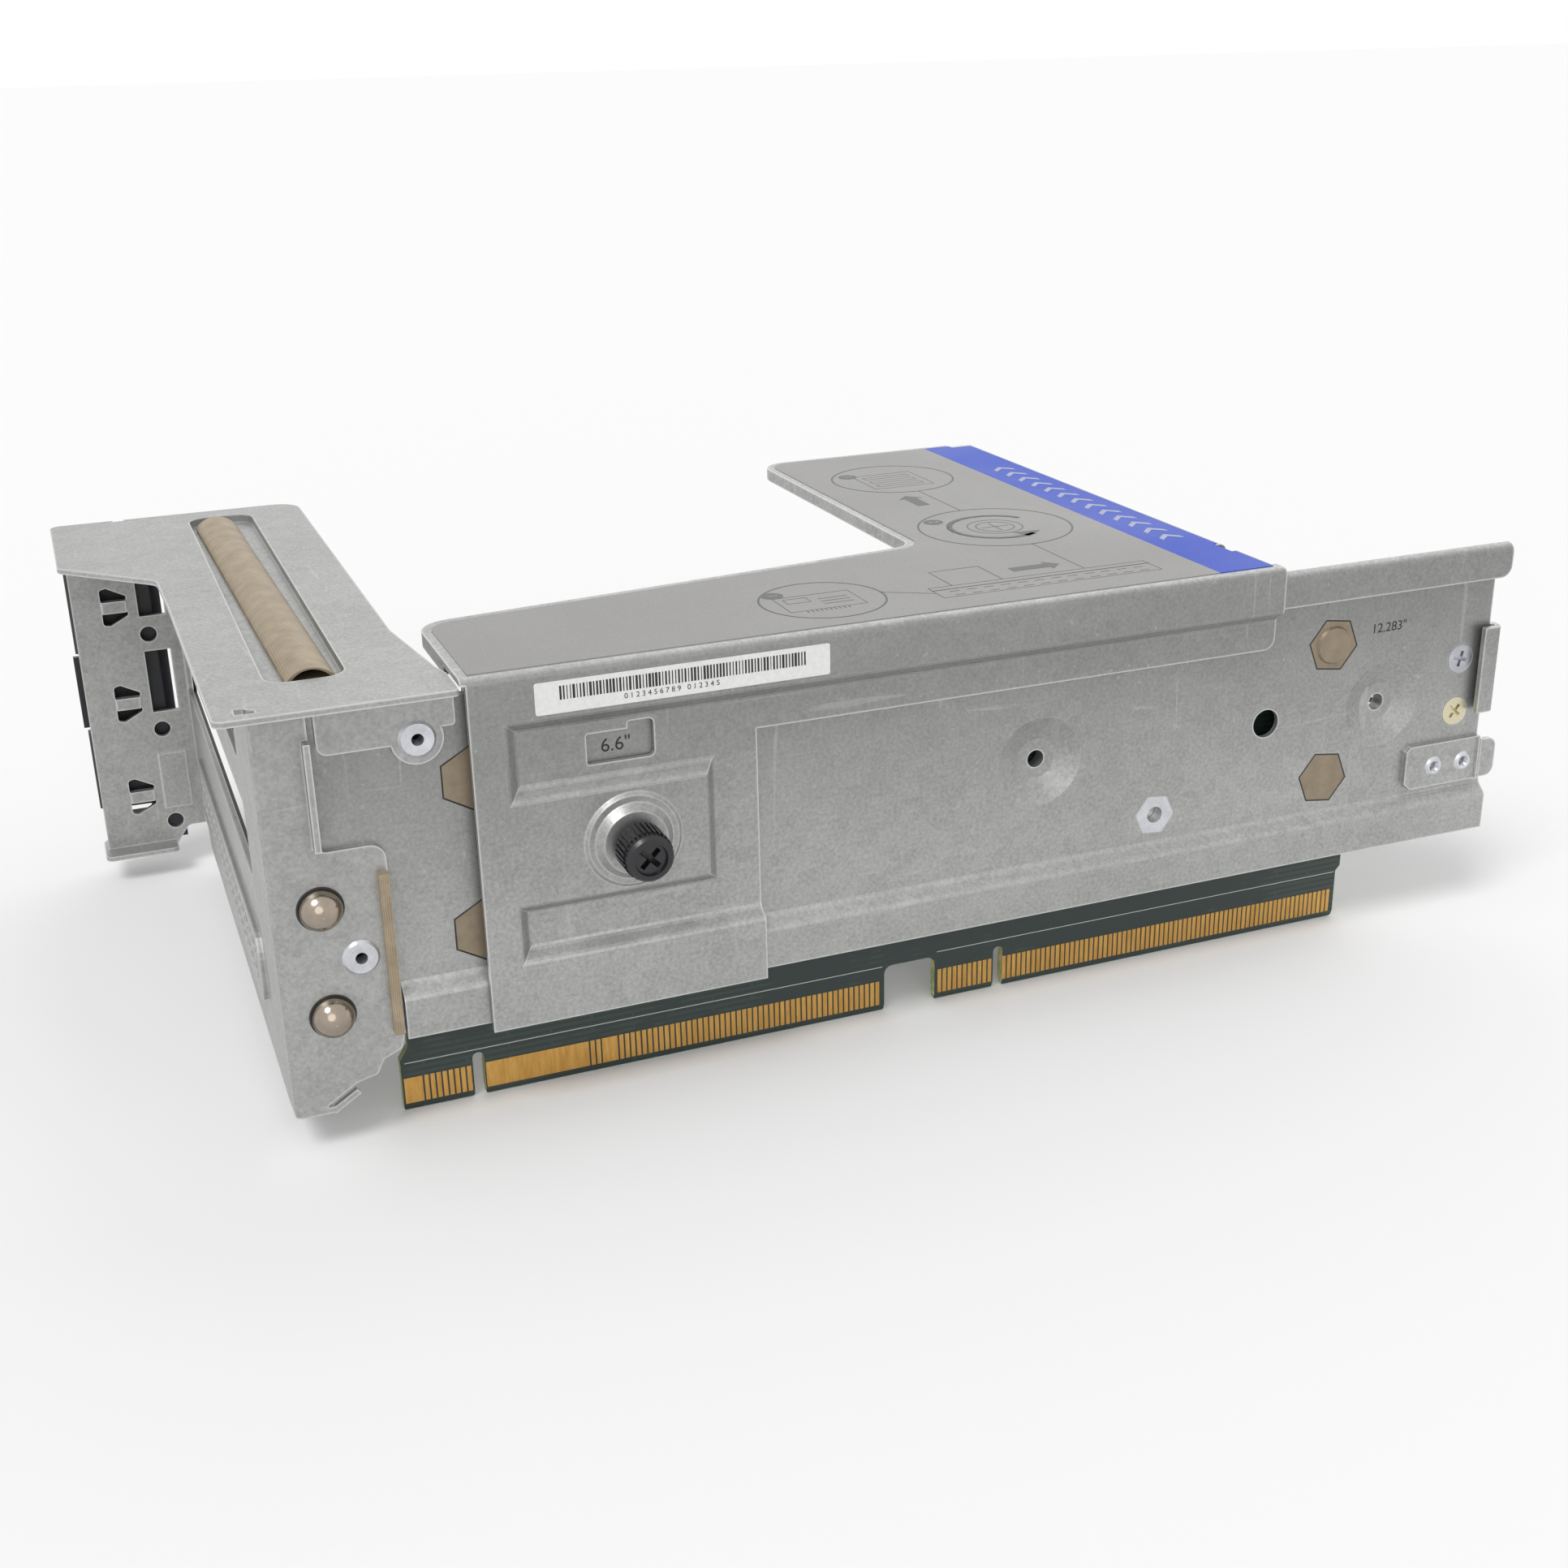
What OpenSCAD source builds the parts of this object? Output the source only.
// Riser cage bracket for a rack server: an I/O slot bracket, a side wall and a sliding cover
// in folded sheet, with the riser board and its slots held inside.
// X runs along the side wall from the slot panel's outer face, Y from the wall's outer face
// into the cage, and Z up from the tips of the board's edge fingers.

/* [Cage] */
// Length of the side wall, from the slot panel's outer face
wall_len = 224.8; // [222:0.4:228]
// Height of the cover's top face above the finger tips
cage_h = 74.2; // [73.8:0.1:75.4]
// Width of the slot bracket, from the wall's outer face
cage_w = 130.4; // [129:0.2:132]
// Thickness of the folded sheets
sheet_t = 1; // [0.8:0.1:1]

/* [Card slots] */
// Distance between two card slots
slot_pitch = 20.32; // [20:0.02:20.6]
// Height of one slot opening
slot_h = 12.7; // [11.8:0.1:12.8]
// Length of one slot opening
slot_len = 102.4; // [98:0.4:103]
// Height of the upper slot opening's middle
slot_z = 64.7; // [64:0.1:65]

/* [Sliding cover] */
// Where the cover's end wall stands, at its outer face
end_x = 174.8; // [173:0.2:176]
// Where the cover starts
cover_x = 30.6; // [30.5:0.1:31]
// Width of the cover's arm, across the cage
cover_w = 116.8; // [116:0.2:118]
// Inner edge of the arm
arm_x = 123.7; // [122:0.5:128]
// Width of the tab that the thumbscrew goes through
tab_w = 47; // [45:0.5:50]

/* [Perforations] */
// Side of one square hole
hole = 3.05; // [2.6:0.05:3.2]
// Columns of holes in the end wall
hole_cols = 24; // [24]
// Distance between columns
hole_pitch_y = 4.07; // [4.0:0.01:4.1]
// Distance between rows
hole_pitch_z = 4.19; // [4.15:0.01:4.2]

/* [Lock positions] */
// Height of the thumbscrew and its dimples
lock_z = 44.7; // [43:0.1:46]
// Where the cover locks for a short card, 6.6 inches long
lock_x = 55.8; // [55:0.1:57]

/* [Riser board] */
// Board thickness
board_t = 1.6; // [1.5:0.05:1.65]
// Gap from the wall's outer face to the board
board_y = 5.5; // [5.4:0.05:6]
// Start of the first finger tongue
tongue_x = 17.54; // [17:0.1:18]
// Distance from the first tongue to the second
tongue_step = 95; // [94:0.1:96]
// Start of the card connectors
conn_x = 41.5; // [40:0.5:46]

/* [Moving parts] */
// Radial clearance of the thumbscrew and the latch pins
fit_gap = 0.05; // [0.03:0.01:0.1]

/* [Hidden] */

$fn = 48;
t = sheet_t;
eps = 0.01;

// Levels across the wall: raised strip, folded lip, and the cover that wraps them
strip_y = -2;
lip_y = -2.2;
cover_in = -1.2;
cover_out = -3.4;
plate_z = cage_h - t;
flange_z = cage_h - 0.9;

// Card length positions: 6.6, 9.5 and 12.283 inches
inch = 25.4;
lock_steps = [0, (9.5 - 6.6) * inch, (12.283 - 6.6) * inch];

// Board studs, and the spots near the wall's end
stud_x = [31.8, 188.4];
stud_z = [32.25, 57.6];
hex_r = 5;
nut_hex = [152.9, 30.9];
nut_hex_r = 3.7;
end_screw = [wall_len - 7.6, [40.9, 51.1]];
clip_rivet = [[wall_len - 12, 30.9], [wall_len - 5.3, 30.9]];
ring_rivet = [[24.1, 65.4], [12.5, 31.8]];
dome_spot = [[7.3, 40.9], [7.3, 22.9]];
brace_screw_y = 66.6;
brace_screw_z = [39.9, 48.3];
fold_y = cage_w - 5;
far_y = fold_y - t;
latch_y = cage_w;
hinge = [-4.6, latch_y - 2.1];

// ---- helpers ----

function unit(v) = v / norm(v);

// Points of one rounded corner, coming from p, turning at q and going on to s
function corner_arc(p, q, s, rad, n) = rad <= 0 ? [q] :
    let (a = unit(p - q), b = unit(s - q), half = acos(a * b) / 2,
         centre = q + unit(a + b) * rad / sin(half),
         from = q + a * rad / tan(half) - centre,
         to = q + b * rad / tan(half) - centre,
         a0 = atan2(from[1], from[0]),
         turn = atan2(to[1], to[0]) - a0,
         sweep = turn > 180 ? turn - 360 : turn < -180 ? turn + 360 : turn)
    [for (i = [0:n]) centre + rad * [cos(a0 + sweep * i / n), sin(a0 + sweep * i / n)]];

// An outline given as [x, y, corner radius]
function rounded(o, n = 5) = let (m = len(o)) [for (i = [0:m - 1])
    each corner_arc([o[(i + m - 1) % m][0], o[(i + m - 1) % m][1]], [o[i][0], o[i][1]],
        [o[(i + 1) % m][0], o[(i + 1) % m][1]], o[i][2], n)];

function rect(x0, y0, x1, y1, r) = rounded([[x0, y0, r], [x1, y0, r], [x1, y1, r], [x0, y1, r]]);

// A smooth step from [u0, v0] to [u1, v1]
function s_curve(u0, v0, u1, v1, n = 6) =
    [for (i = [0:n]) [u0 + (u1 - u0) * (1 - cos(180 * i / n)) / 2, v0 + (v1 - v0) * i / n]];
function swap(points) = [for (p = points) [p[1], p[0]]];

// A box between two opposite corners
module box(a, b) {
    translate(a) cube(b - a);
}

// Plates drawn in X-Z, Y-Z or X-Y and given a depth along the third axis
module xz_plate(y0, depth) {
    translate([0, y0 + depth, 0]) rotate([90, 0, 0]) linear_extrude(depth) children();
}
module yz_plate(x0, depth) {
    translate([x0, 0, 0]) rotate([90, 0, 90]) linear_extrude(depth) children();
}
module xy_plate(z0, depth) {
    translate([0, 0, z0]) linear_extrude(depth) children();
}

// A turned piece whose axis runs along Y, at [x, z]
module y_turned(at, y0, depth, r1, r2) {
    translate([at[0], y0, at[1]]) rotate([-90, 0, 0]) cylinder(h = depth, r1 = r1, r2 = r2);
}
module y_cyl(at, y0, depth, r) {
    y_turned(at, y0, depth, r, r);
}

// A hexagonal prism along Y
module y_hex(at, y0, depth, r, turn = 0) {
    translate([at[0], y0, at[1]]) rotate([-90, 0, 0]) rotate(turn)
        cylinder(h = depth, r = r, $fn = 6);
}

// What is cut away to round the edge where two faces meet; both faces lie on the axes
module edge_cut(r) {
    difference() {
        translate([-r, -r]) square(2 * r);
        translate([r, r]) circle(r);
        translate([r, -r - eps]) square(2 * r);
        translate([-r - eps, r]) square(2 * r);
    }
}

// One square perforation with rounded corners, round its own middle
module perforation(side = hole) {
    polygon(rounded([for (c = [[-1, -1], [1, -1], [1, 1], [-1, 1]])
        [c[0] * side / 2, c[1] * side / 2, side * 0.26]], 2));
}

// ---- side wall ----

module wall_section() {
    hem_r = (t - lip_y) / 2;
    hem_c = [t - hem_r, cage_h - 1.6 - hem_r];
    polygon(concat([[strip_y, 16.9]], s_curve(strip_y, 23.4, 0, 26),
        [[0, hem_c[1]], [t, hem_c[1]]],
        swap([for (p = s_curve(26, t, 23.4, strip_y + t)) p]), [[strip_y + t, 16.9]]));
    translate([lip_y, 66.4]) square([t, hem_c[1] - 66.4]);
    intersection() {
        difference() {
            translate(hem_c) circle(hem_r);
            translate(hem_c) circle(hem_r - t);
        }
        translate([lip_y - 1, hem_c[1]]) square([8, 4]);
    }
}

module dimple_skin(at, lift) {
    y_turned(at, lift, 1.6, 8, 4);
}

module side_wall() {
    lap_x = 31.6;
    edge_x = wall_len - 1.6;
    color("silver") difference() {
        union() {
            yz_plate(2.5, wall_len - 2.5) wall_section();
            box([9, 0, 17], [18.2, t, 27]);
            for (s = lock_steps) {
                y_turned([lock_x + s, lock_z], t, 1.6, 8.8, 4.4);
                y_cyl([lock_x + s, lock_z], t, 3.3, 2.9);
            }
            end_lip(edge_x);
        }
        // The folded lip and the raised strip start further along
        box([-1, lip_y - 1, 64], [lap_x, -eps, cage_h]);
        box([-1, -5, cage_h - 3], [lap_x, 5, cage_h + 1]);
        box([-1, strip_y - 1, 10], [18.2, -eps, 27]);
        box([-1, -1, 10], [9, 5, 26.4]);
        // The plain wall ends short of the lip and the strip
        for (z = [[26.4, 40.5], [57, 66.2]])
            box([edge_x, -5, z[0]], [wall_len + 5, 5, z[1]]);
        translate([wall_len, lip_y - 1, 66.4]) rotate([-90, 0, 0]) mirror([1, 1, 0])
            linear_extrude(2) edge_cut(2.2);
        for (s = lock_steps) {
            y_turned([lock_x + s, lock_z], -eps, 1.6, 8, 3.6);
            y_cyl([lock_x + s, lock_z], -1, 8, 1.55);
        }
        for (x = stud_x, z = stud_z)
            y_hex([x, z], -1, 3, hex_r, x < 100 ? 30 : 8);
        y_hex(nut_hex, -1, 3, nut_hex_r, 6);
        y_cyl([edge_x - 48.1, lock_z], -1, 3, 2.6);
        for (z = end_screw[1]) y_turned([end_screw[0], z], -eps, t + 2 * eps, 2.8, 1.6);
        for (p = clip_rivet) y_cyl(p, -1, 3, 1.25);
        for (p = concat(ring_rivet, dome_spot)) y_cyl(p, -1, 3, 1.6);
    }
}

// The wall's end edge, folded back over the outer face
module end_lip(edge_x) {
    r_out = 1.55;
    translate([0, 0, 40.5]) linear_extrude(16.5) {
        translate([edge_x - 2.6, -2.1]) square([2.6, t]);
        translate([edge_x - 1, 0]) square([1, t]);
        intersection() {
            translate([edge_x, t - r_out]) difference() {
                circle(r_out);
                circle(r_out - t);
            }
            translate([edge_x, -5]) square(10);
        }
    }
}

// ---- rear bracket ----

// The flange that laps the side wall: narrow above, wide round the studs, stepped below
module side_flange() {
    xz_plate(-t, t) difference() {
        polygon(rounded([[0, 72.4, 0], [0, 7.5, 0], [1.2, 6.2, 0], [5, 6.2, 0], [5, 7.6, 0],
            [9.8, 10.6, 0], [13.1, 11.4, 1], [14.3, 13.8, 1], [17.2, 15, 1], [17.8, 17.2, 0],
            [17.8, 49.8, 2.4], [8.3, 49.8, 0.8], [8.3, 72.4, 0]]));
        for (p = dome_spot) translate(p) circle(2.4);
        translate(ring_rivet[1]) circle(1.6);
    }
    box([8.3 - t, -3, 50.6], [8.3, -t + eps, 67.6]);
    // Small tongue under the stepped edge
    translate([6, 0, 6]) rotate([0, -32, 0]) box([0, -t, 0], [5, 0, t]);
    box([0.5, -t, 6.2], [6.6, 0, 7.2]);
}

// The tab of the top flange that is riveted down on the wall
module wall_tab() {
    xz_plate(-t, t) difference() {
        union() {
            polygon(rounded([[9.4, 72.6, 0], [9.4, 64.8, 1.6], [22, 64.8, 0], [26, 66.8, 0],
                [30, 66.8, 0.6], [30, 72.6, 0]]));
            translate(ring_rivet[0]) circle(4);
        }
        translate(ring_rivet[0]) circle(1.6);
    }
}

module slot_openings() {
    y1 = far_y - 0.5;
    for (i = [0, 1]) {
        z = slot_z - i * slot_pitch;
        polygon(rect(y1 - slot_len, z - slot_h / 2, y1, z + slot_h / 2, 1.6));
    }
}

// The lowest slot has no opening: a pressed-out pan with two rows of holes closes it
module vent_pan() {
    pan_d = 0.9;
    difference() {
        yz_plate(-pan_d, pan_d + t) polygon(rect(19.8, 15.8, 112.4, 28.4, 4));
        yz_plate(t - pan_d, 3) polygon(rect(20.8, 16.8, 111.4, 27.4, 3));
    }
}

// Cut-outs of the far flange, one set for each card: a window, a round hole, and a bow-tie
// that a lanced bridge crosses
module card_tab_cutouts() {
    for (i = [0:2]) {
        z = slot_z - i * slot_pitch;
        for (side = [-1, 1]) translate([-11.8, z - 7.4]) mirror([0, side < 0 ? 1 : 0])
            polygon(rounded([[-2.5, 1.2, 0.2], [2.4, 1.2, 0.2], [2.4, 2, 0.3],
                [-1.2, 3.9, 0.6], [-2.5, 3.6, 0.6]], 3));
        if (i < 2) translate([-7.4, z - 10]) square([5.1, 13]);
        translate([-6.1, z - 13.8]) circle(1.6);
    }
}

// Foot under the latch, bent out from the far flange
module latch_foot() {
    xy_plate(5, t) polygon(rounded([[-6.4, 119.8, 1], [-6.4, latch_y - 0.4, 1],
        [-20.8, latch_y - 0.4, 1.5], [-20.8, 119.8, 1.5]]));
}

module top_flange() {
    far = cage_w;
    difference() {
        union() {
            xy_plate(flange_z - t, t) polygon(rounded([[-4.8, -4.6, 1.5], [30.3, -4.6, 0.8],
                [30.3, 4, 0.8], [29.4, 8, 1], [26.8, 30, 0], [26.6, far, 5],
                [-21.4, far, 2], [-21.4, 95.5, 2.5], [-5.4, 79, 4], [-5, 60, 0]]));
            xy_plate(flange_z - 2.6, 2) polygon(rect(3.5, 9, 17.6, 125.6, 4.2));
        }
        xy_plate(flange_z - 1.6, 3) polygon(rect(4.5, 10, 16.6, 124.6, 3.4));
        box([-9.5, far - 1, flange_z - 3], [-7.5, far + 1, flange_z + 1]);
    }
}

module rear_bracket() {
    color("silver") difference() {
        union() {
            difference() {
                yz_plate(0, t) difference() {
                    polygon(rounded([[-t, flange_z - 0.5, 0], [-t, 6.2, 0], [8, 5, 0],
                        [119.4, 5, 0], [121.4, 8.6, 1.5], [fold_y, 8.8, 0],
                        [fold_y, flange_z - 0.5, 0]]));
                    slot_openings();
                }
                yz_plate(-1, 4) polygon(rect(20.8, 16.8, 111.4, 27.4, 3));
            }
            vent_pan();
            side_flange();
            wall_tab();
            top_flange();
            xz_plate(far_y, t) difference() {
                polygon(rounded([[t, 8.8, 0], [t, flange_z - 0.5, 0], [-19.8, flange_z - 0.5, 0],
                    [-20, 5, 1.5], [-6.4, 5, 0], [-3.6, 8.8, 1.5]]));
                card_tab_cutouts();
            }
            latch_foot();
            // Blank third window, pressed in, and the bridges of the bow-ties
            box([-7.7, far_y - 0.5, 13.4], [-2.3, far_y + 0.3, 25.4]);
            for (i = [0:2]) box([-14.2, far_y - 0.6, slot_z - i * slot_pitch - 8.6],
                [-9.6, far_y + 0.2, slot_z - i * slot_pitch - 6.2]);
            // Bottom flange, and the lances that hold the lower strip
            xy_plate(5, t) polygon(rounded([[0, 10, 0], [6.4, 13, 2], [6.4, 116.6, 1],
                [3.4, 119.4, 1], [0, 119.4, 0]]));
            for (y = [47.6, 99.4]) box([t - eps, y - 2.4, 31.6], [t + 1.1, y + 2.4, 33.8]);
            for (z = [7.6, 10.6]) box([t - eps, 95.6, z], [t + 1.3, 100.4, z + 1.2]);
        }
        // Bend between the slot panel and the side flange
        translate([0, -t, 0]) linear_extrude(cage_h) edge_cut(1.4);
        // Small holes of the vent pan
        yz_plate(-2, 3) for (c = [0:18], z = [20.8, 25.3])
            translate([26.3 + 4.5 * c, z - 1.2 + 0.4]) perforation(3.1);
    }
}

// Angle inside the bracket's corner, in front of the board's rear edge
module corner_angle() {
    y0 = board_y + board_t + 0.4;
    color("silver") difference() {
        xy_plate(24, 42) polygon([[t, y0 + 4.6], [t, y0], [11.2, y0], [11.2, y0 + 0.9],
            [t + 0.9, y0 + 0.9], [t + 0.9, y0 + 4.6]]);
        box([10, 0, 23], [12, 12, 25.6]);
    }
}

// ---- sliding cover ----

tab_x1 = cover_x + tab_w;

// The side of the cover as a solid that reaches inwards; its outer face has the raised
// margin, band and screw field, and the pressed-in fields between them
module cover_side_solid(shift) {
    low = cover_in + shift;
    high = cover_out + shift;
    deep = 6 + shift;
    foot = 15.8;
    crown = plate_z + eps;
    // Pressed-in level
    xz_plate(low, deep - low) {
        polygon(rounded([[cover_x + 0.8, foot, 0], [tab_x1, foot, 0], [tab_x1, 59, 0],
            [end_x, 59, 2], [end_x, crown, 0], [cover_x + 0.8, crown, 0]]));
    }
    // Left margin
    translate([0, 0, foot]) linear_extrude(crown - foot)
        polygon(concat([[cover_x + 0.8, deep], [cover_x + 0.8, high]],
            swap([for (p = s_curve(high, 36.6, low, 39)) p]), [[39, deep]]));
    // Lower band
    yz_plate(cover_x + 0.8, tab_w - 0.8)
        polygon(concat([[deep, foot], [high, foot]], s_curve(high, 26.3, low, 28.7),
            [[deep, 28.7]]));
    // Upper band, all along the cover
    yz_plate(cover_x + 0.8, end_x - cover_x - 0.8)
        polygon(concat([[deep, crown], [high, crown]], s_curve(high, 66.5, low, 64.1),
            [[deep, 64.1]]));
    // Field round the thumbscrew
    intersection() {
        yz_plate(cover_x + 0.8, 60)
            polygon(concat([[deep, 34.2]], s_curve(low, 34.2, high, 36.6),
                s_curve(high, 53.2, low, 55.6), [[deep, 55.6]]));
        translate([0, 0, 30]) linear_extrude(30)
            polygon(concat([[cover_x + 0.8, deep], [cover_x + 0.8, high]],
                swap([for (p = s_curve(high, 68, low, 70.4)) p]), [[70.4, deep]]));
    }
    // Boss under the thumbscrew
    y_turned([lock_x, lock_z], high - 0.5, 1, 7.4, 8.6);
    y_turned([lock_x, lock_z], high - 1.8, 2, 5.2, 7);
}

module cover_side() {
    difference() {
        cover_side_solid(0);
        cover_side_solid(t);
        y_cyl([lock_x, lock_z], -9, 12, 2.1);
        // Window over the length mark, with its stepped end
        xz_plate(-9, 12) polygon(rounded([[49.7, 57.2, 0.4], [60.6, 57.2, 0.8],
            [60.6, 63.4, 0.8], [56.4, 63.4, 0.4], [56.4, 62.2, 0], [49.7, 62.2, 0.4]], 3));
    }
}

// Outline of the cut-out side of the top plate, moved in by d
function arm_outline(d, y0) = rounded([[cover_x + d, y0, 0], [cover_x + d, 28.6 - d, 6 - d],
    [arm_x + d, 39.2 - d, 4 + d], [arm_x + d, cover_w - d, 6 - d],
    [end_x - 6.2, cover_w - d, 0], [end_x - 6.2, y0, 0]]);

module top_plate() {
    xy_plate(plate_z, t) {
        difference() {
            union() {
                polygon(arm_outline(0, cover_out));
                polygon(rounded([[end_x - 7, cover_out, 0], [end_x, cover_out, 0],
                    [end_x, cover_w - 1.8, 1], [end_x - 7, cover_w - 1.8, 0]]));
            }
            translate([end_x - 2.2, 10.6]) square([4, 4.6]);
        }
    }
    // Edge turned down round the cut-out
    xy_plate(plate_z - 1.4, 1.4 + eps) difference() {
        polygon(arm_outline(0, 8));
        polygon(arm_outline(t, 7.9));
    }
}

// Holes left out of the grid: round the windows, under the brace and round the bent tab
function is_blank(c, r) =
    (c <= 2 && r >= 2 && r <= 4) ||
    (c >= 7 && c <= 9 && r >= 3 && r <= 4) ||
    (c >= 10 && c <= 13 && r >= 4) ||
    (c >= 17 && c <= 20 && r == 3) ||
    (c >= 17 && c <= 21 && r == 4) ||
    (c >= 18 && c <= 21 && r >= 5) ||
    (c == 17 && r == 8);

module end_wall() {
    first_y = 17.9;
    first_z = cage_h - 5.2;
    yz_plate(end_x - t, t) difference() {
        polygon(rounded([[15.2, plate_z + eps, 0], [15.2, 30.3, 1], [cover_w - 1.8, 30.3, 3.4],
            [cover_w - 1.8, plate_z + eps, 0]]));
        for (c = [0:hole_cols - 1], r = [0:8])
            if (!is_blank(c, r))
                translate([first_y + hole_pitch_y * c, first_z - hole_pitch_z * r])
                    perforation();
        // Plain window and the two windows for the holder's hooks
        polygon(rect(20.6, 51.2, 25.6, 58.2, 0.5));
        for (y = [46.6, 88.8]) {
            translate([y, 52.9]) square([4.9, 4.6]);
            translate([y, 53.4]) square([9.3, 2.9]);
        }
        // Opening that the bent tab leaves, and the keyed slot
        polygon(rect(93.1, 38.4, 104.6, 49.3, 1.5));
        translate([93.1, 48.6]) square([1.6, 2.4]);
        polygon(rounded([[89.6, 31.5, 0.4], [93.6, 31.5, 0], [94.6, 32.6, 0], [98.2, 32.6, 0.3],
            [98.2, 34.7, 0.3], [95.6, 34.9, 0], [93.6, 36.4, 0], [89.6, 36.4, 0.4]], 2));
        for (z = brace_screw_z) translate([brace_screw_y, z]) circle(1.7);
    }
    // Curled tab at the wall's side
    yz_plate(end_x - t, t)
        polygon(rounded([[1.4, plate_z + eps, 0], [1.4, 67.4, 1.8], [10.4, 67, 2.4],
            [10.4, plate_z + eps, 0]]));
    // Bent-out tab with its hole
    xy_plate(49.2, t) difference() {
        polygon(rounded([[end_x - t, 94.7, 0], [end_x + 9.6, 94.7, 2.6],
            [end_x + 9.6, 103.4, 2.6], [end_x - t, 103.4, 0]]));
        translate([end_x + 5.4, 98.9]) circle(2);
    }
}

module slide_cover() {
    color("silver") difference() {
        union() {
            cover_side();
            top_plate();
            end_wall();
        }
        // Bends along the side and the end
        translate([cover_x - 1, cover_out, cage_h]) rotate([90, 0, 90]) mirror([0, 1])
            linear_extrude(200) edge_cut(1.3);
        translate([end_x, cover_w + 5, cage_h]) rotate([90, 0, 0]) mirror([1, 0])
            mirror([0, 1]) linear_extrude(cover_w + 5) edge_cut(1.3);
    }
}

// ---- brace ----

brace_a = [wall_len - 12.8, 2];
brace_b = [end_x + t, 60];
brace_len = norm(brace_b - brace_a);
brace_turn = atan2(brace_b[1] - brace_a[1], brace_b[0] - brace_a[0]);
brace_z = [34.6, 56.8];

module brace() {
    lip_d = 4.4;
    color("silver") {
        // Strap with its two turned-out edges, drawn along its own length
        translate([brace_a[0], brace_a[1], 0]) rotate(brace_turn) {
            difference() {
                box([-0.3, -0.2, brace_z[0]], [brace_len + 0.2, t - 0.2, brace_z[1]]);
                translate([0, t + 1, 0]) rotate([90, 0, 0]) linear_extrude(t + 3)
                    for (c = [0:15], r = [0:3])
                        translate([5.8 + 3.78 * c, 39.6 + 3.95 * r]) perforation(2.85);
            }
            for (z = [brace_z[0], brace_z[1] - t]) translate([0, 0, z]) linear_extrude(t)
                polygon(rounded([[0.4, t - 0.3, 0], [3.6, -lip_d, 1.2],
                    [brace_len - 3.6, -lip_d, 1.2], [brace_len - 0.6, t - 0.3, 0]]));
        }
        // Flange on the side wall
        xz_plate(t, t) difference() {
            polygon(rounded([[wall_len - 1.4, 35.6, 2], [wall_len - 1.4, 56.4, 2],
                [brace_a[0] - 0.6, 56.4, 0], [brace_a[0] - 0.6, 35.6, 0]]));
            for (z = end_screw[1]) translate([end_screw[0], z]) circle(1.55);
        }
        // Flange on the cover's end wall
        difference() {
            yz_plate(end_x, t) polygon(rounded([[59.2, 34.2, 0], [72.8, 34.2, 3],
                [72.8, 55.4, 3], [59.2, 55.4, 0]]));
            for (z = brace_screw_z) translate([end_x - 1, brace_screw_y, z])
                rotate([0, 90, 0]) cylinder(h = 3, r = 1.7);
            for (z = brace_screw_z) translate([end_x + t - 0.9, brace_screw_y, z])
                rotate([0, 90, 0]) cylinder(h = 1, r1 = 1.9, r2 = 2.95);
        }
    }
}

// ---- small sheet parts, gaskets and strips ----

module wall_clip() {
    x0 = wall_len - 18.4;
    color("silver") {
        xz_plate(-t, t) difference() {
            polygon(rounded([[x0, 28.2, 0], [x0 + 1.4, 26.9, 0], [wall_len - 1.6, 26.9, 0],
                [wall_len - 1.6, 35.4, 0], [x0 + 1, 35.4, 0], [x0, 34.4, 0]]));
            for (p = clip_rivet) translate(p) circle(1.25);
        }
        clip_tongue();
    }
}

module clip_tongue() {
    xz_plate(-t, t) polygon(rounded([[wall_len - 1.7, 27, 0], [wall_len + 2.2, 27, 1.8],
        [wall_len + 2.2, 34.6, 1.8], [wall_len - 1.7, 34.6, 0]]));
    box([wall_len - 2.2, -t - 0.4, 27], [wall_len - 1.4, -t + eps, 35]);
}

module d_section(w, h) {
    intersection() {
        translate([0, h - w * 0.62]) circle(w * 0.62);
        translate([-w / 2, 0]) square([w, h]);
    }
}

module top_gasket() {
    color("tan") translate([10.4, 66, flange_z - 1.6]) rotate([90, 0, 1.1])
        translate([0, 0, -54]) linear_extrude(108) difference() {
            d_section(7.6, 2.7);
            translate([0, 0.5]) scale(0.8) d_section(7.6, 2.4);
        }
}

module side_gasket() {
    color("tan") box([16.2, -2.5, 18.2], [17.7, -t, 45.4]);
}

module slot_strip_upper() {
    color("#3a332c") box([t, 12.8, 51.3], [t + 0.6, far_y - 0.4, 58.2]);
}

module slot_strip_lower() {
    color("#3a332c") difference() {
        yz_plate(t, 0.6) polygon([[12.8, 32.2], [114, 32.2], [115.6, 31.2], [118.6, 29.6],
            [far_y - 0.4, 29.6], [far_y - 0.4, 37.9], [12.8, 37.9]]);
        for (y = [47.6, 99.4]) box([0, y - 3, 30], [3, y + 3, 34.4]);
    }
}

// Strip in the corner of the bottom flange, notched round its two small bridges
module slot_strip_bottom() {
    color("#2a2624") difference() {
        union() {
            yz_plate(t, 0.6) polygon([[14, 6], [117, 6], [118.6, 8.6], [114.6, 12.6], [14, 12.6]]);
            xy_plate(5 + t, 0.6) polygon([[t, 14], [5.6, 16], [5.6, 115.6], [3, 117], [t, 117]]);
        }
        box([0, 95, 7.2], [3, 101, 12.2]);
    }
}

// ---- studs, rivets and screws ----

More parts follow.
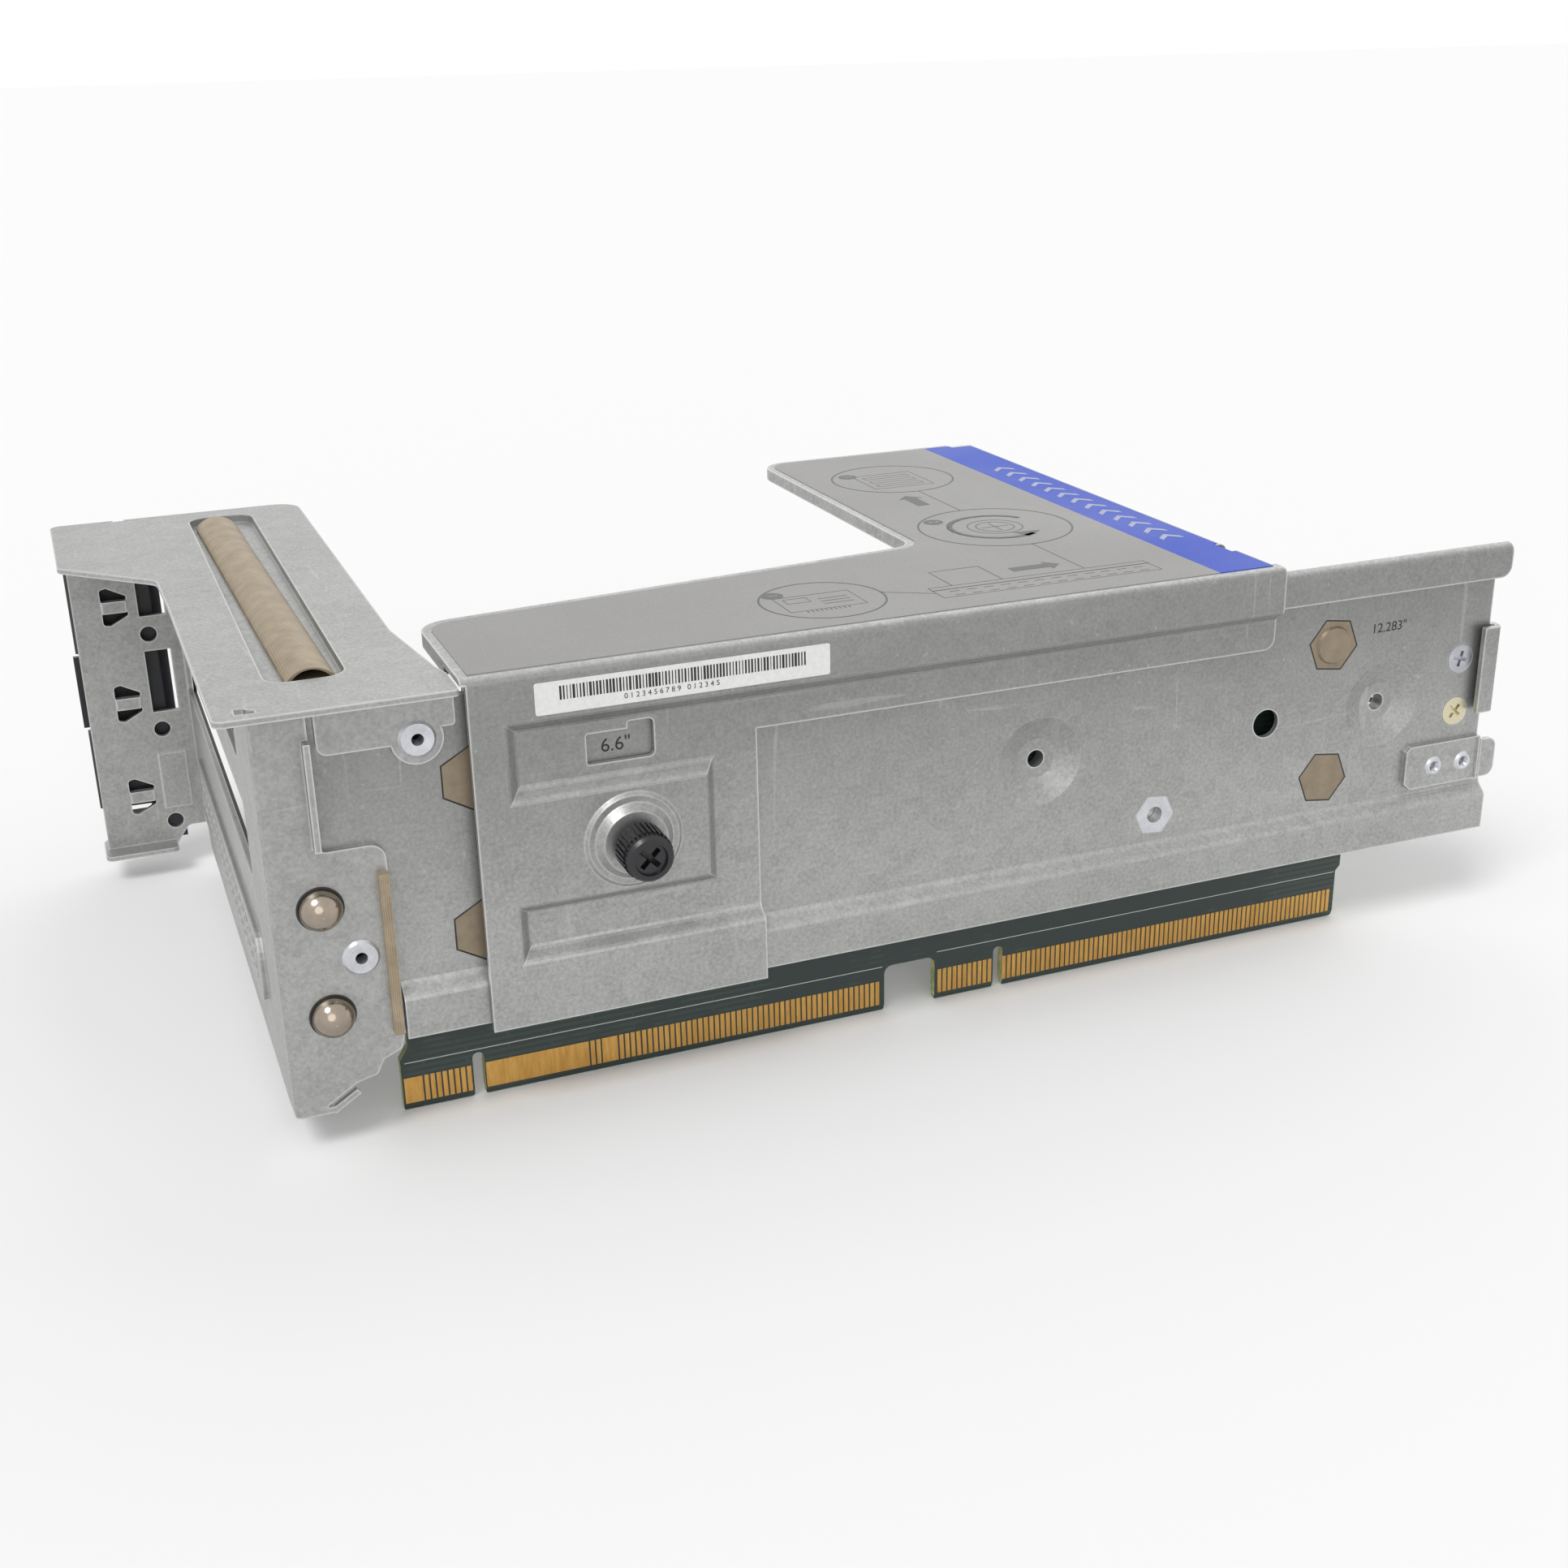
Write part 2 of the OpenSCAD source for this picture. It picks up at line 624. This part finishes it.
module locating_studs() {
    dome_r = 3.25;
    dome_h = 2.4;
    ball_r = (dome_r * dome_r + dome_h * dome_h) / (2 * dome_h);
    color("#c9c2b8") for (p = dome_spot) translate([p[0], -t, p[1]]) rotate([90, 0, 0])
        rotate_extrude() union() {
            square([dome_r, 1]);
            translate([0, -2 * t]) square([1.55, 2 * t + eps]);
            intersection() {
                translate([0, 1 + dome_h - ball_r]) circle(ball_r);
                translate([0, 1 - eps]) square([dome_r, dome_h + 1]);
            }
        }
}

// A flared tubular rivet with its outer ring at y0
module ring_rivet_at(p, y0, depth, r) {
    difference() {
        union() {
            y_turned(p, y0 - 0.4, 0.4, r - 0.4, r);
            y_cyl(p, y0, depth, 1.5);
            y_cyl(p, y0 + depth, 0.5, 2.2);
        }
        y_cyl(p, y0 - 1, depth + 3, 0.95);
    }
}

module wall_rivets() {
    color("gainsboro") for (p = ring_rivet) ring_rivet_at(p, -t, 2 * t, 2.9);
}

module clip_rivets() {
    color("gainsboro") for (p = clip_rivet) difference() {
        union() {
            y_turned(p, -t - 0.35, 0.35, 1.5, 1.9);
            y_cyl(p, -t, 2 * t, 1.2);
            y_turned(p, t, 0.6, 2, 1.6);
        }
        y_turned(p, -t - 0.4, 0.8, 1.1, 0.7);
        y_cyl(p, -t, 1.4, 0.7);
    }
}

// Blind standoffs: a flush hexagon in the wall and a headed neck that the board hooks on
module board_standoffs() {
    color("#b7a88c") for (x = stud_x, z = stud_z) {
        p = [x, z];
        y_hex(p, 0, t, hex_r, x < 100 ? 30 : 8);
        y_cyl(p, t, board_y - t, 3);
        y_cyl(p, board_y, board_t + 0.15, 1.7);
        y_cyl(p, board_y + board_t + 0.15, 0.8, 2.9);
        y_turned(p, board_y + board_t + 0.95, 0.35, 2.9, 2.3);
        if (x > 100 && z > 50) y_turned(p, -0.45, 0.45, 3.2, 3.5);
    }
}

module threaded_standoff() {
    color("gainsboro") difference() {
        union() {
            y_hex(nut_hex, 0, t, nut_hex_r, 6);
            y_cyl(nut_hex, t, board_y - t, 2.5);
        }
        y_cyl(nut_hex, -1, board_y + 2, 1.5);
    }
}

module cross_recess(at, y0, depth, w, turn) {
    translate([at[0], y0, at[1]]) rotate([0, turn, 0])
        for (a = [0, 90]) rotate([0, a, 0]) box([-w, -eps, -w * 0.22], [w, depth, w * 0.22]);
}

module board_screw() {
    y0 = board_y + board_t;
    color("gainsboro") difference() {
        union() {
            y_cyl(nut_hex, 2.4, y0 - 2.4, 1.44);
            y_turned(nut_hex, y0, 1.6, 2.7, 2.2);
        }
        cross_recess(nut_hex, y0 + 0.8, 1.4, 1.5, 20);
    }
}

module thumbscrew() {
    at = [lock_x, lock_z];
    back = cover_out - 2.6;
    front = back - 6;
    ribs = 30;
    color("#18181c") difference() {
        union() {
            y_cyl(at, front, 6, 3.75);
            for (i = [0:ribs - 1])
                translate([at[0], 0, at[1]]) rotate([0, i * 360 / ribs, 0])
                    box([3.5, front + 1.1, -0.22], [4.05, back - 0.5, 0.22]);
            y_turned(at, front - 0.5, 0.5, 3.3, 3.75);
            y_cyl(at, back, -back + 3.8, 1.55 - fit_gap);
        }
        y_turned(at, front - 0.6, 0.7, 2.7, 2.5);
        cross_recess(at, front - 0.2, 2, 2, 45);
    }
}

module thumbscrew_ferrule() {
    at = [lock_x, lock_z];
    y0 = cover_out - 2.45;
    color("dimgray") difference() {
        union() {
            y_cyl(at, y0, 0.65, 3.2);
            y_cyl(at, y0 + 0.5, 2, 2.1 - eps);
        }
        y_cyl(at, y0 - 1, 6, 1.55 + 0.3);
    }
}

module brace_wall_screws() {
    color("gainsboro") for (z = end_screw[1]) {
        at = [end_screw[0], z];
        difference() {
            union() {
                y_turned(at, 0, t, 2.7, 1.5);
                y_cyl(at, t - eps, 2.6, 1.5);
                y_turned(at, t + 2.5, 0.6, 1.5, 1.1);
            }
            cross_recess(at, 0, 0.8, 1.5, z < 45 ? 40 : 15);
        }
    }
}

module brace_cover_screws() {
    x1 = end_x + t + 0.12;
    color("gainsboro") for (z = brace_screw_z) translate([x1, brace_screw_y, z])
        rotate([0, -90, 0]) difference() {
            union() {
                cylinder(h = 1, r1 = 2.9, r2 = 1.8);
                cylinder(h = 4.2, r = 1.6);
            }
            rotate(z < 45 ? 35 : 10) for (a = [0, 90]) rotate(a)
                translate([0, 0, 0.35]) cube([3, 0.7, 0.8], center = true);
        }
}

// ---- riser board ----

tongue = [0, 11.65, 13.55, 85.2];
board_x1 = tongue_x + tongue_step + tongue[3] + 0.9;
board_z1 = 67.3;
ring_hole = [board_x1 - 4.4, 62.6];

function tongue_edge(x0) = [[x0, 0, 0.4], [x0 + tongue[1], 0, 0.4], [x0 + tongue[1], 8, 0.9],
    [x0 + tongue[2], 8, 0.9], [x0 + tongue[2], 0, 0.4], [x0 + tongue[3], 0, 0.4]];

module board_outline() {
    x2 = tongue_x + tongue_step;
    polygon(rounded(concat(tongue_edge(tongue_x),
        [[tongue_x + tongue[3], 8.6, 1.5], [x2, 8.6, 1.5]], tongue_edge(x2),
        [[x2 + tongue[3], 9.6, 0], [board_x1, 10.6, 0], [board_x1, board_z1, 3],
         [9, board_z1, 1], [9, 19, 1], [19, 17.6, 0.5], [19, 11.4, 0], [tongue_x, 9.2, 0]]), 4));
}

module keyhole(p) {
    big = 3.3;
    neck = 1.85;
    translate([p[0] - 6, p[1]]) circle(big);
    translate([p[0] - 6, p[1] - neck]) square([6, 2 * neck]);
    translate(p) circle(neck);
}

module riser_board() {
    color("#1f5a35") intersection() {
        xz_plate(board_y, board_t) difference() {
            board_outline();
            for (x = stud_x, z = stud_z) keyhole([x, z]);
            translate(nut_hex) circle(1.8);
            translate(ring_hole) circle(1.7);
            for (x = [board_x1 - 9, board_x1 - 22]) translate([x, board_z1]) square([3.4, 0.9], center = true);
        }
        // Finger tips are ground to a wedge
        yz_plate(0, wall_len) polygon([[board_y + 0.45, -1], [board_y + board_t - 0.45, -1],
            [board_y + board_t - 0.45, 0], [board_y + board_t, 1.3], [board_y + board_t, 80],
            [board_y, 80], [board_y, 1.3], [board_y + 0.45, 0]]);
    }
}

// Gold fingers on both faces; the power pads are joined into wide ones on the outer face
module edge_contacts() {
    pitch = 1;
    w = 0.72;
    z = [1.3, 5.9];
    color("#d6a536") for (x0 = [tongue_x, tongue_x + tongue_step]) {
        first = x0 == tongue_x;
        for (i = [0:81]) {
            x = x0 + 0.6 + i * pitch + (i > 10 ? 1.9 : 0);
            joined = first && (i < 2 || (i > 10 && i < 29) || (i > 31 && i < 34));
            if (!joined) box([x, board_y - 0.05, z[0]], [x + w, board_y, z[1]]);
            box([x, board_y + board_t, z[0]], [x + w, board_y + board_t + 0.05, z[1]]);
        }
        if (first) for (pad = [[0.3, 2.6], [13.75, 31.2], [34.2, 36.2]])
            box([x0 + pad[0], board_y - 0.05, z[0]], [x0 + pad[1], board_y, z[1]]);
    }
}

// An x16 card connector, lying across the board
module card_connector(z) {
    y0 = board_y + board_t;
    y1 = y0 + 11.2;
    color("#141416") difference() {
        union() {
            box([conn_x, y0, z - 3.75], [conn_x + 89, y1 - 0.6, z + 3.75]);
            box([conn_x + 0.6, y0, z - 3.2], [conn_x + 88.4, y1, z + 3.2]);
        }
        for (s = [[1.6, 13.4], [15.3, 87.4]])
            box([conn_x + s[0], y1 - 8.5, z - 0.95], [conn_x + s[1], y1 + 1, z + 0.95]);
        for (s = [[2.4, 12.6], [16.1, 86.6]], side = [-1, 1])
            translate([conn_x + s[0], y1 - 0.5, z + side * 2.1 - 0.45])
                cube([s[1] - s[0], 1, 0.9]);
    }
}

conn_z = [slot_z - 9.5, slot_z - 9.5 - slot_pitch];

module slot_connector_upper() {
    card_connector(conn_z[0]);
}

module slot_connector_lower() {
    card_connector(conn_z[1]);
}

module power_connector() {
    y0 = board_y + board_t;
    x0 = board_x1 - 24.4;
    x1 = x0 + 18.4;
    color("#ead9b0") {
        difference() {
            box([x0, y0, 15.6], [x1, 20, 25]);
            for (c = [0:3], r = [0, 1])
                translate([x0 + 1.05 + 4.2 * c, 12, 16.5 + 4.25 * r]) cube([3.5, 9, 3.45]);
        }
        box([x0 + 4, 9, 25 - eps], [x0 + 14, 12, 26.2]);
        // Side clip that holds the shell on the board
        box([x1 - eps, 9, 17.4], [x1 + 2.6, 11.4, 20.4]);
        box([x1 + 2.2, 8.4, 16.4], [x1 + 4.4, 12.6, 19.4]);
    }
}

// ---- card retention latch ----

latch_z = [14, 65.4];

module latch_base() {
    rail = [[t + 0.1, far_y - 0.3], [t + 0.9, far_y - 0.3], [t + 0.9, far_y + 0.5],
        [-1.3, latch_y - 2.8], [-2, fold_y + 1.6], [-2, fold_y + 0.1], [t + 0.1, fold_y + 0.1]];
    block = [[t + 0.1, far_y - 0.3], [t + 0.9, far_y - 0.3], [t + 0.9, far_y + 0.5],
        [-4.4, latch_y], [-10.2, latch_y], [-10.2, fold_y + 0.1], [t + 0.1, fold_y + 0.1]];
    color("#202226") difference() {
        union() {
            // Rail that wraps the fold of the slot panel
            xy_plate(6.2, 65.6) polygon(rail);
            for (z = [[6.2, latch_z[0] - 0.5], [latch_z[1] + 0.8, 71.8]]) {
                // Blocks that carry the lever's pins, and their tails
                xy_plate(z[0], z[1] - z[0]) polygon(block);
                box([-19, fold_y + 0.1, z[0]], [-10.2 + eps, latch_y - 2.4, z[1] - 0.8]);
            }
        }
        // Clear of the slot panel's raised bottom edge
        box([-4, fold_y - 2, 6], [3, latch_y + 1, 10.4]);
        // Long groove in the rail
        translate([t + 0.5, far_y + 1.3, 0]) rotate(-45) box([-0.5, -1, 19], [2, 0.2, 61]);
        for (z = [latch_z[0] - 3.6, latch_z[1]])
            translate([hinge[0], hinge[1], z]) cylinder(h = 3.6, r = 1.2 + fit_gap);
    }
}

module latch_lever() {
    x0 = -20.4;
    y0 = fold_y + 1.4;
    h = latch_z[1] - latch_z[0];
    color("#2a2c31") {
        difference() {
            translate([0, 0, latch_z[0]]) linear_extrude(h)
                polygon(rounded([[x0, y0 + 1.2, 0.4], [x0 + 1.2, y0, 0.4], [-4.6, y0 - 0.2, 0.6],
                    [hinge[0] + 2.1, hinge[1], 0.4], [hinge[0], latch_y, 0.3],
                    [x0, latch_y, 0.6]], 3));
            // Hollow that leaves room for the card tabs, and the notch round the finger lip
            for (i = [0, 1]) {
                z = slot_z - i * slot_pitch - 14;
                box([-17.6, y0 - 1, z], [-7.4, y0 + 1.2, z + 12.6]);
            }
            box([x0 - 1, y0 - 1, 30.6], [x0 + 1.6, latch_y + 1, 47.6]);
            box([x0 - 1, y0 - 1, 31.4], [x0 + 4.4, y0 + 1.6, 46.8]);
        }
        // Finger lip on the free edge
        box([x0 - 0.6, latch_y - 1.7, 31.6], [x0 + 1.8, latch_y - 0.5, 46.6]);
        for (z = [latch_z[0] - 3, latch_z[1] - eps])
            translate([hinge[0], hinge[1], z]) cylinder(h = 3 + eps, r = 1.2);
    }
}

// ---- card end holder ----

module card_end_holder() {
    x1 = end_x - t - 0.1;
    rail = [[52.6, 55.4], [57.4, 60.2]];
    color("#202226") {
        // Two rails joined by a web over the windows
        for (z = rail) box([x1 - 2.6, 43, z[0]], [x1, 119.6, z[1]]);
        box([x1 - 1.1, 43, rail[0][0]], [x1, 100, rail[1][1]]);
        for (y = [43, 57, 71, 85, 98.6])
            box([x1 - 2.6, y, rail[0][0]], [x1, y + 1.4, rail[1][1]]);
        // End bar
        translate([0, 0, 50.4]) linear_extrude(10.2) polygon(rounded([[x1, 119.2, 0.4],
            [x1, 123.4, 1], [x1 - 3.8, 121.6, 0.8], [x1 - 3.8, 119.6, 0.4],
            [x1 - 2.6, 119.2, 0]], 3));
        // Hooks through the windows of the end wall
        for (y = [46.6, 88.8]) {
            box([x1 - 0.5, y + 4.8, 53.6], [end_x + 0.4, y + 9.1, 56.1]);
            box([end_x + 0.3, y + 4.6, 53.1], [end_x + 2.4, y + 9.1, 57.3]);
        }
    }
}

// ---- labels ----

module cover_label() {
    color("#b3b1ad") xy_plate(cage_h, 0.12) difference() {
        polygon(rounded([[cover_x + 1.6, -1.4, 0], [cover_x + 1.6, 27, 4.4],
            [arm_x + 1.6, 37.6, 5.6], [arm_x + 1.6, cover_w - 1.6, 4.4],
            [end_x - 6.2, cover_w - 1.6, 0], [end_x - 6.2, cover_w - 3.4, 0],
            [end_x - 1.6, cover_w - 3.4, 0], [end_x - 1.6, -1.4, 0]]));
        translate([end_x - 2.4, 9.8]) square([4, 6]);
    }
}

module barcode_label() {
    color("white") xz_plate(cover_out - 0.1, 0.1)
        polygon(rect(41.6, 67.1, 89.4, 72.2, 0.4));
}

rear_bracket();
corner_angle();
side_wall();
slide_cover();
brace();
wall_clip();
top_gasket();
side_gasket();
slot_strip_upper();
slot_strip_lower();
slot_strip_bottom();
locating_studs();
wall_rivets();
clip_rivets();
board_standoffs();
threaded_standoff();
board_screw();
thumbscrew();
thumbscrew_ferrule();
brace_wall_screws();
brace_cover_screws();
riser_board();
edge_contacts();
slot_connector_upper();
slot_connector_lower();
power_connector();
latch_base();
latch_lever();
card_end_holder();
cover_label();
barcode_label();
